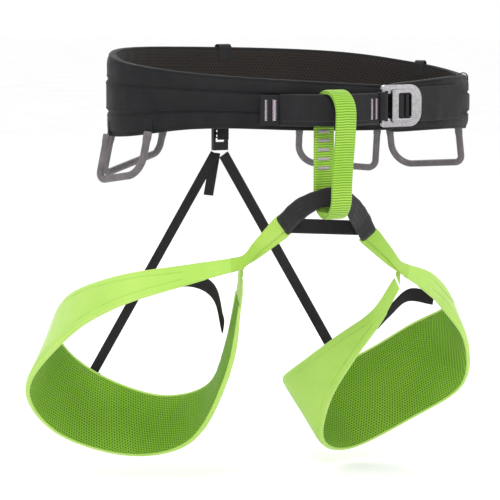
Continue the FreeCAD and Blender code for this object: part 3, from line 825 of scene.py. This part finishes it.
def make_waist_strap():
    """The strap that tightens the belt, and the fabric pocket that its end runs into."""
    webbing("waist_strap_web", "waist_strap", BLACK_WEBBING, "root", BELT_HUB,
            1.8 * MM)
    tail = band_frames([("waist_strap_tail", 0.0)], BELT_HUB, None, 1.5 * MM)

    def half_across(f, s):
        round_end = math.sqrt(1 - (1 - min(s / 0.1, 1)) ** 2 * 0.6)
        return (POCKET_HALF + POCKET_GROW * ease(s / 0.3)) * MM * round_end

    def half_out(f, s):
        return POCKET_THICK + 0.12 * MM * pucker(f.along, 0.3, 7.0)

    skin = sweep(tail, round_section(half_across, half_out, 4.0, 36))
    piece = finished("waist_strap_pocket", skin, BLACK_SHELL, "root")
    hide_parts("waist_strap_tail", "strap_keeper")
    softened("tie_in_turn", "tie_in_fold", BLACK_WEBBING, "root", 0.5 * MM)


def make_rear_clip():
    softened("rear_tab", "rear_belt_tab", BLACK_WEBBING, "root", 0.5 * MM)
    softened("rear_clip", "rear_hook", BLACK_PLASTIC, "root", 0.5 * MM)


# ============ belay loop ============
LOOP_LEAN = 4 * MM        # the front strand hangs this far to one side at its foot
PLY = 1.75 * MM           # one layer of the loop's webbing
LOOP_TRIM = 1.2 * MM      # its round edges take up this much of its width
RIB_PITCH = 2.15 * MM
RIB_HEIGHT = 0.42 * MM
RIB_STEPS = 5             # sections to each rib
LOOP_TACKS = 5
TACK_HEIGHT = 2.4 * MM


def make_belay_loop():
    low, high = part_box("belay_loop_outer_ply")
    width = high.x - low.x
    outer_radius = (high.y - low.y) / 2
    radius = outer_radius - PLY
    centre_y = (low.y + high.y) / 2
    top_z = high.z - outer_radius
    low_z = low.z + outer_radius
    x = (low.x + high.x) / 2
    straight = top_z - low_z
    length = 2 * straight + 2 * math.pi * radius
    count = round(length / RIB_PITCH)
    steps = count * RIB_STEPS
    frames = []
    for i in range(steps):
        s = length * i / steps
        if s < straight:
            out = FORWARD
            lean = LOOP_LEAN * (1 - ease(s / straight))
            place = Vector((x - lean, centre_y - radius, low_z + s))
        elif s < straight + math.pi * radius:
            t = (s - straight) / radius
            out = Vector((0, -math.cos(t), math.sin(t)))
            place = Vector((x, centre_y, top_z)) + out * radius
        elif s < 2 * straight + math.pi * radius:
            out = -FORWARD
            place = Vector((x, centre_y + radius, top_z - (s - straight - math.pi * radius)))
        else:
            t = (s - 2 * straight - math.pi * radius) / radius
            out = Vector((0, math.cos(t), -math.sin(t)))
            lean = LOOP_LEAN * ease(t / math.pi)
            place = Vector((x - lean, centre_y, low_z)) + out * radius
        frames.append(Frame(place, SIDEWAYS, out, width - LOOP_TRIM, s))
    for name, node, near, far in (("belay_loop_front_ply", "belay_loop_outer_ply", 0.05, 1.6),
                                  ("belay_loop_back_ply", "belay_loop_inner_ply", -1.6, -0.05)):
        ribbed = web_section(near * MM, far * MM, RIB_HEIGHT, length / count, 14)
        skin = sweep(frames, ribbed, ring=True)
        cloth = ribbed_webbing_material(name + "_cloth", length / count, width - LOOP_TRIM)
        piece = finished(name, skin, cloth, "belay_loop")
        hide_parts(node)
    bm = bmesh.new()
    low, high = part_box("belay_loop_bartacks")
    for i in range(LOOP_TACKS):
        spread = high.z - low.z - TACK_HEIGHT
        z = low.z + TACK_HEIGHT / 2 + spread * i / (LOOP_TACKS - 1)
        centre = Vector(((low.x + high.x) / 2, low.y + 0.1 * MM, z))
        bartack(bm, centre, UP, SIDEWAYS, FORWARD, TACK_HEIGHT * 1.25, high.x - low.x, 12,
                0.3 * MM)
    piece = finished("belay_loop_tack_threads", bm, PALE_THREAD, "belay_loop")
    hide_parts("belay_loop_bartacks")


# ============ bridge and its strands ============
BRIDGE_HUB = Vector((-8 * MM, 0, -110 * MM))
SLEEVE_HALF = 3.3 * MM    # half the sleeve's thickness
SLEEVE_POWER = 2.5        # squareness of the sleeve's section
SLEEVE_ROWS = (-0.62, -0.22, 0.22, 0.62)     # its stitch rows, as shares of its half width
CROSS_TUCK = 6 * MM       # the cross strap runs this far under the sleeve at each end
SLEEVE_TUCK = 7 * MM      # the strands run this far into the bridge's sleeve
STRAND_OVER = 12 * MM     # and this far over the leg loop's own webbing
STRAND_NARROW = 0.26      # near the sleeve a strand is this share narrower than its CAD solid
STRAND_SHIFT = 0.17       # and lies this share of its width to its own side


def make_bridge():
    frames = band_frames([("bridge_sleeve", 0.0)], BRIDGE_HUB, None, 1.5 * MM)

    def half_across(f, s):
        return f.width / 2 - 0.2 * MM + 0.15 * MM * math.sin(f.along * 420)

    def half_out(f, s):
        end = 1 - 0.35 * (ease(1 - s / 0.04) + ease(1 - (1 - s) / 0.04))
        return SLEEVE_HALF * end + 0.1 * MM * math.sin(f.along * 510)

    skin = sweep(frames, round_section(half_across, half_out, SLEEVE_POWER, 32))
    piece = finished("bridge_padded_sleeve", skin, SLEEVE, "leg_bridge")
    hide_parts("bridge_sleeve")
    bm = bmesh.new()
    for share in SLEEVE_ROWS:
        height = SLEEVE_HALF * (1 - abs(share) ** SLEEVE_POWER) ** (1 / SLEEVE_POWER) + 0.05 * MM
        for face in (-1, 1):
            stitch_row(bm, frames[4:-4], lambda f: share / 2, lambda f: height, face,
                       2.6 * MM, 0.55, 0.26 * MM)
    finished("bridge_sleeve_stitches", bm, BLACK_THREAD, "leg_bridge")
    cross = band_frames([("bridge_cross_strap", 0.0)], BRIDGE_HUB, None, WEB_STEP)
    run = (cross[1].origin - cross[0].origin).normalized()
    first = cross[0]._replace(origin=cross[0].origin - run * CROSS_TUCK, along=0.0)
    last = cross[-1]._replace(origin=cross[-1].origin + run * CROSS_TUCK,
                              along=cross[-1].along + 2 * CROSS_TUCK)
    middle = [f._replace(along=f.along + CROSS_TUCK) for f in cross]
    skin = sweep([first] + middle + [last], web_section(-1.1 * MM, 1.1 * MM, 0.12 * MM))
    piece = finished("bridge_cross_web", skin, BLACK_WEBBING, "leg_bridge")
    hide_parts("bridge_cross_strap")


def make_strands(side, hub):
    """The two strands between the bridge and a leg loop, one lying over the other."""
    for part, leg_part, shift in (("front", "outer", 1), ("back", "inner", -1)):
        node = side + "_tie_" + part + "_strand"
        tie = band_frames([(node, 0.0)], hub, BRIDGE_HUB, WEB_STEP)
        split = tie[-1].along
        both = band_frames([(node, 0.0), (side + "_leg_" + leg_part + "_strand", 0.0)], hub,
                           BRIDGE_HUB, WEB_STEP)
        tuck = tie[0].origin - (tie[1].origin - tie[0].origin).normalized() * SLEEVE_TUCK
        frames = [tie[0]._replace(origin=tuck, along=-SLEEVE_TUCK)]
        frames += [f for f in both if f.along < split + STRAND_OVER]
        placed = []
        for f in frames:
            apart = 1 - ease((f.along - split * 0.5) / (split * 0.5 + STRAND_OVER))
            width = f.width * (1 - STRAND_NARROW * apart)
            place = f.origin + f.across * (shift * STRAND_SHIFT * f.width * apart)
            placed.append(Frame(place, f.across, f.out, width, f.along + SLEEVE_TUCK))

        def high(v, f, s):
            return 0.95 * MM + 0.45 * MM * (1 - (2 * v - 1) ** 2)

        def low(v, f, s):
            return -0.75 * MM - 0.15 * MM * (1 - (2 * v - 1) ** 2)

        skin = sweep(placed, flat_section(high, low, 12, 0.5))
        piece = finished(node + "_web", skin, LIME_WEBBING, None)
        start = tie[int(len(tie) * 0.6)].origin
        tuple(start)
        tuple(tie[-1].origin)
        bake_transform(piece)
        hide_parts(node)


# ============ leg loops ============
COVER_MID = 2.375 * MM    # middle of the CAD cover, where its frames lie
STRAND_MID = 0.95 * MM    # middle of the CAD strands
PAD_REACH = 70 * MM       # the padding grows to its full thickness over this length
PAD_START = PAD_REACH * 0.35    # from this far along the loop
LEG_STEP = 2.5 * MM       # between two sections of a leg loop
LEG_SEAM = 5.5 * MM       # the sewn line runs this far in from each edge
LEG_GROOVE = 0.8 * MM     # half width of the groove that it makes
LEG_EDGE = 1.5 * MM       # height of the padded cover at its edges
LEG_CROWN = 2.1 * MM      # and how much higher it is in the middle
MESH_CROWN = 2.9 * MM     # the same for the lining, inwards


def make_leg(side):
    """One leg loop: cover, lining, foam core, edge tape, stitches, elastic and patch."""
    body = side + "_leg_loop"
    name = side + "_leg"
    low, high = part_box(name + "_foam")
    hub = (low + high) / 2
    tie = sum((Vector(c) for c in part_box(side + "_tie_front_strand")), Vector()) / 2
    frames = band_frames([(name + "_outer_strand", -STRAND_MID), (name + "_shell", -COVER_MID),
                          (name + "_inner_strand", -STRAND_MID)], hub, tie, LEG_STEP)
    total = frames[-1].along

    def pad(f):
        """0 in the bare strands, 1 in the padded part."""
        start = ease((f.along - PAD_START) / PAD_REACH)
        return start * ease((total - f.along - PAD_START) / PAD_REACH)

    def outer(v, f, s):
        p = pad(f)
        flat = 1.7 * MM + 0.25 * MM * (1 - (2 * v - 1) ** 4)
        height = LEG_EDGE + LEG_CROWN * roll(v, f.width, 6 * MM)
        height += 0.12 * MM * pucker(f.along, v, 2.0)
        height -= 0.5 * MM * (groove(v, f.width, LEG_SEAM / f.width, LEG_GROOVE)
                              + groove(v, f.width, 1 - LEG_SEAM / f.width, LEG_GROOVE))
        return flat + (height - flat) * p

    def under(v, f, s):
        return 0.2 * MM + (outer(v, f, s) - SKIN - 0.2 * MM) * pad(f)

    cover = sweep(frames, flat_section(outer, under, 28, 0.35))
    piece = finished(name + "_outer_cover", cover, LIME_SHELL, body)
    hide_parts(name + "_shell", name + "_outer_strand", name + "_inner_strand")

    inside = [f for f in frames if pad(f) > 0.05]

    def mesh_in(v, f, s):
        p = pad(f)
        depth = 0.3 * MM + MESH_CROWN * roll(v, f.width, 7 * MM)
        return -depth * p - 0.15 * MM * pucker(f.along, v, 6.0) * p

    def mesh_out(v, f, s):
        return mesh_in(v, f, s) + (0.25 + 0.65 * pad(f)) * MM

    lining = sweep(inside, flat_section(mesh_out, mesh_in, 24, 0.25))
    piece = finished(name + "_mesh_lining", lining, LIME_MESH, body)
    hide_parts(name + "_lining")

    core = sweep([f._replace(width=f.width - CORE_TRIM) for f in inside[6:-6]], flat_section(
        lambda v, f, s: max(under(v, f, s) - SKIN_GAP, 0.2 * MM),
        lambda v, f, s: min(mesh_out(v, f, s) + SKIN_GAP, 0.0), 24, 0.25))
    piece = finished(name + "_foam_core", core, FOAM, body)
    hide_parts(name + "_foam")

    bm = bmesh.new()
    for edge in (1, -1):
        line = edge_frames(inside, edge, 0.5 * MM, 0.0)
        sweep(line, round_section(lambda f, s: 1.3 * MM, lambda f, s: (0.9 + 1.3 * pad(f)) * MM,
                                  2.6, 14), bm=bm)
    piece = finished(name + "_rim_tape", bm, LIME_EDGE, body)
    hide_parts(name + "_edge_binding")

    bm = bmesh.new()
    for edge in (1, -1):
        def place(f):
            return edge * (0.5 - LEG_SEAM / f.width)

        stitch_row(bm, inside[8:-8], place, lambda f: outer(0.5 + place(f), f, 0.5) + 0.05 * MM,
                   1, 2.8 * MM, 0.6, 0.2 * MM)
    finished(name + "_edge_stitches", bm, LIME_THREAD, body)

    webbing(name + "_elastic_web", name + "_elastic", BLACK_ELASTIC, body, hub,
            1.5 * MM, 0.12 * MM, 1.6 * MM)
    softened(name + "_riser_tack", name + "_riser_patch", BLACK_WEBBING, body,
             0.25 * MM)


# ============ risers, buckle, gear loops ============
def make_risers():
    for node in ("riser_left", "riser_right", "riser_tail"):
        webbing(node + "_web", node, BLACK_WEBBING, "risers",
                Vector((0, 0, -0.2)), 1.7 * MM)


def make_buckle():
    softened("buckle_rounded_frame", "buckle_frame", METAL, "buckle", 0.9 * MM, 4)
    softened("buckle_rounded_slide", "buckle_slide_plate", METAL, "buckle_slide",
             0.7 * MM, 4)
    softened("strap_turn", "strap_fold", BLACK_WEBBING, "buckle", 0.5 * MM)


GEAR_LEAN = math.radians(14)  # a gear loop leans outwards by this much
GEAR_TUBE = 3.3 * MM          # its radius
COLLAR_LENGTH = 9 * MM        # a collar covers the joint between a loop's end and the belt
COLLAR_ABOVE = 3 * MM         # it starts this far above the joint's axis
COLLAR_RADIUS = 3.75          # in mm, at its top
COLLAR_TAPER = 0.35
COLLAR_STEPS = 8


def collar_radius(f, s):
    return (COLLAR_RADIUS - COLLAR_TAPER * ease((s - 0.6) / 0.4)) * MM


def make_gear_loops():
    for end in ("left_front", "left_rear", "right_front", "right_rear"):
        node = "gear_loop_" + end
        softened(node + "_tube", node, GREY_MOULDING, node, 0.8 * MM, 3)
        softened("gear_anchor_" + end, "gear_anchors_" + end, BLACK_SHELL,
                 "root", 0.4 * MM)
        joint = [j for j in frame["joints"] if j["child"] == node][0]
        axis = Vector(joint["axis"]).normalized()
        centre = Vector(joint["pos_m"])
        out = axis.cross(UP).normalized()
        if out.dot(centre - BELT_HUB) < 0:
            out = -out
        down = (-UP * math.cos(GEAR_LEAN) + out * math.sin(GEAR_LEAN)).normalized()
        co = [v.co for v in frame["nodes"][node].data.vertices]
        along = [(p - centre).dot(axis) for p in co
                 if ((p - centre) - axis * (p - centre).dot(axis)).length < 4.2 * MM]
        for k, half in enumerate((min(along), max(along))):
            top = centre + axis * (half - math.copysign(GEAR_TUBE, half))
            frames = []
            for i in range(COLLAR_STEPS + 1):
                run = (i / COLLAR_STEPS) * COLLAR_LENGTH
                frames.append(Frame(top + down * (run - COLLAR_ABOVE), axis, down.cross(axis),
                                    0.0, run))
            collar = sweep(frames, round_section(collar_radius, collar_radius, 2.0, 20))
            piece = finished(node + "_collar_" + "ab"[k], collar, GREY_MOULDING,
                             None)
            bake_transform(piece)


# ============ camera, lights, floor ============
CAMERA_AZIMUTH = math.radians(-28)
CAMERA_ELEVATION = math.radians(7)
CAMERA_AWAY = 1.8
CAMERA_AIM = Vector((-40.2 * MM, 1.8 * MM, -140.6 * MM))
CAMERA_LENS = 140.87          # with a sensor 36 wide
SENSOR = 36


def make_camera():
    level = math.cos(CAMERA_ELEVATION)
    back = Vector((math.sin(CAMERA_AZIMUTH) * level, -math.cos(CAMERA_AZIMUTH) * level,
                   math.sin(CAMERA_ELEVATION)))
    data = bpy.data.cameras.new("camera")
    data.lens = CAMERA_LENS
    data.sensor_width = SENSOR
    camera = bpy.data.objects.new("camera", data)
    camera.location = CAMERA_AIM + back * CAMERA_AWAY
    camera.rotation_euler = back.to_track_quat("Z", "Y").to_euler()
    bpy.context.scene.collection.objects.link(camera)
    bpy.context.scene.camera = camera


# name, place, size and power of each soft light
LIGHTS = [("key", (-1.3, -1.7, 2.0), 0.9, 40), ("fill", (2.0, -1.4, 0.5), 1.4, 7),
          ("back", (0.4, 1.9, 1.4), 1.4, 14)]


def make_light(name, place, aim, size, power):
    data = bpy.data.lights.new(name, "AREA")
    data.shape = "DISK"
    data.size = size
    data.energy = power
    light = bpy.data.objects.new(name, data)
    light.location = place
    light.rotation_euler = (Vector(place) - Vector(aim)).to_track_quat("Z", "Y").to_euler()
    bpy.context.scene.collection.objects.link(light)


FLOOR_GLOW = 0.1              # keeps the far floor as pale as the backdrop
FLOOR_BELOW = 12 * MM         # the floor lies this far under the harness
FLOOR_RADIUS = 30.0


def make_studio():
    bpy.context.scene.view_settings.view_transform = "Standard"
    middle = (CAD_BOX[0] + CAD_BOX[1]) / 2
    for name, place, size, power in LIGHTS:
        make_light(name, place, middle, size, power)
    world = bpy.data.worlds.new("studio")
    world.use_nodes = True
    world.node_tree.nodes["Background"].inputs[0].default_value = (1.0, 1.0, 1.0, 1.0)
    world.node_tree.nodes["Background"].inputs[1].default_value = 1.0
    bpy.context.scene.world = world
    bm = bmesh.new()
    bmesh.ops.create_circle(bm, cap_ends=True, segments=96, radius=FLOOR_RADIUS)
    mesh = bpy.data.meshes.new("floor")
    bm.to_mesh(mesh)
    bm.free()
    floor = bpy.data.objects.new("floor", mesh)
    floor.location = (0, 0, CAD_BOX[0].z - FLOOR_BELOW)
    bpy.context.scene.collection.objects.link(floor)
    n = Nodes("floor", 0.9)
    n.colour(n.mix(n.spread(n.noise(3.0), 0.3, 0.7), (0.86, 0.86, 0.86, 1), (0.9, 0.9, 0.9, 1)))
    n.shader.inputs["Emission Color"].default_value = (1.0, 1.0, 1.0, 1.0)
    n.shader.inputs["Emission Strength"].default_value = FLOOR_GLOW
    mesh.materials.append(n.material)


make_camera()
make_studio()
make_belt()
make_tie_in()
make_waist_strap()
make_belt_tabs()
make_rear_clip()
make_belay_loop()
make_bridge()
for side in ("left", "right"):
    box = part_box(side + "_leg_foam")
    make_strands(side, (box[0] + box[1]) / 2)
    make_leg(side)
make_risers()
make_buckle()
make_gear_loops()
